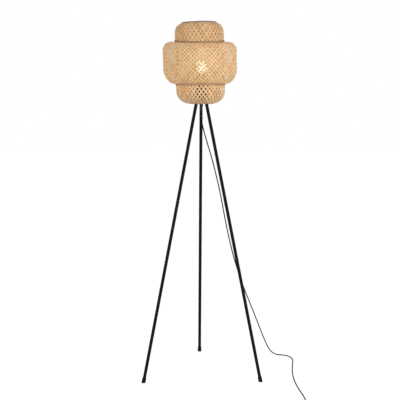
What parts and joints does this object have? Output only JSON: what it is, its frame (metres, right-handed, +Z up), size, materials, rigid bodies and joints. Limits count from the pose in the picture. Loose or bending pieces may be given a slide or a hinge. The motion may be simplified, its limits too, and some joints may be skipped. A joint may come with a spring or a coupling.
{
  "type": "woven bamboo tripod floor lamp",
  "caption": "Tripod floor lamp: slim black tube legs carry a tiered shade of woven bamboo round an upright globe bulb, with a corded foot switch and plug.",
  "frame": {"origin": "on the floor, below the middle of the box round the lamp without its cord; the lamp's own axis stands 71 mm from it along -Y", "axes": "+Z up along the lamp's axis, +Y towards the back leg, +X to the right as seen from the front"},
  "size_m": [0.676, 0.7873, 1.5],
  "materials": {
    "bamboo_weave": "natural split bamboo, woven on the diagonal, satin",
    "rim_cane": "darker bound cane, satin",
    "black_steel": "satin black powder coat",
    "black_wire": "black lacquered wire",
    "plain_steel": "zinc plated",
    "black_rubber": "matt black rubber",
    "black_plastic": "fine grained black",
    "cord_skin": "smooth black cord sheath",
    "holder_ceramic": "unglazed white insulator",
    "brass": "bright brass",
    "cap_metal": "bright screw cap",
    "bulb_glass": "lit frosted glass",
    "filament": "lit filament"
  },
  "bodies": {
    "stand": {"hub_body": "black_steel", "hub_sleeve": "black_steel", "hub_nut": "plain_steel", "hub_nipple": "plain_steel", "leg_back": "black_steel", "leg_left": "black_steel", "leg_right": "black_steel", "leg_stud_back": "plain_steel", "leg_stud_left": "plain_steel", "leg_stud_right": "plain_steel", "foot_back": "black_rubber", "foot_left": "black_rubber", "foot_right": "black_rubber", "shade_crown": "bamboo_weave", "shade_band": "bamboo_weave", "shade_bowl": "bamboo_weave", "top_rim_cane": "rim_cane", "bottom_rim_cane": "rim_cane", "band_top_hoop": "rim_cane", "band_bottom_hoop": "rim_cane", "frame_hoop_upper": "black_wire", "frame_hoop_lower": "black_wire", "frame_upright_right": "black_wire", "frame_upright_left": "black_wire", "shade_carrier": "black_wire", "holder_cap": "black_plastic", "holder_shell": "black_plastic", "holder_core": "holder_ceramic", "holder_screw_shell": "brass", "holder_contact": "brass", "terminal_screw_left": "brass", "terminal_screw_right": "brass", "cord_gland": "black_plastic", "cord_inner": "cord_skin", "cord_hanging": "cord_skin", "cord_tail": "cord_skin", "cord_coil": "cord_skin", "coil_tie": "black_rubber", "cord_lead": "cord_skin", "switch_base": "black_plastic", "switch_cover": "black_plastic", "switch_block": "holder_ceramic", "switch_spring": "plain_steel", "switch_screw_left": "plain_steel", "switch_screw_right": "plain_steel", "switch_relief_in": "black_rubber", "switch_relief_out": "black_rubber", "plug_body": "black_plastic", "plug_pin_left": "brass", "plug_pin_right": "brass", "plug_relief": "black_rubber"},
    "bulb": {"bulb_contact": "brass", "bulb_insulator": "black_plastic", "bulb_cap": "cap_metal", "bulb_glass": "bulb_glass", "bulb_stem": "bulb_glass", "bulb_filaments": "filament"},
    "shade_ring": {"shade_ring": "black_plastic"},
    "switch_button": {"switch_button": "black_plastic"}
  },
  "joints": [
    {"name": "bulb_unscrew", "type": "hinge", "parent": "stand", "child": "bulb", "pos_m": [0, -0.07125, 1.3], "axis": [0, 0, 1], "range_deg": [0, 1080]},
    {"name": "shade_ring_unscrew", "type": "hinge", "parent": "stand", "child": "shade_ring", "pos_m": [0, -0.07125, 1.263], "axis": [0, 0, 1], "range_deg": [0, 720]},
    {"name": "switch_press", "type": "slide", "parent": "stand", "child": "switch_button", "axis": [0, 0, -1], "range_m": [0, 0.003], "stiffness_N_per_m": 600, "deforming": ["switch_spring"]}
  ]
}
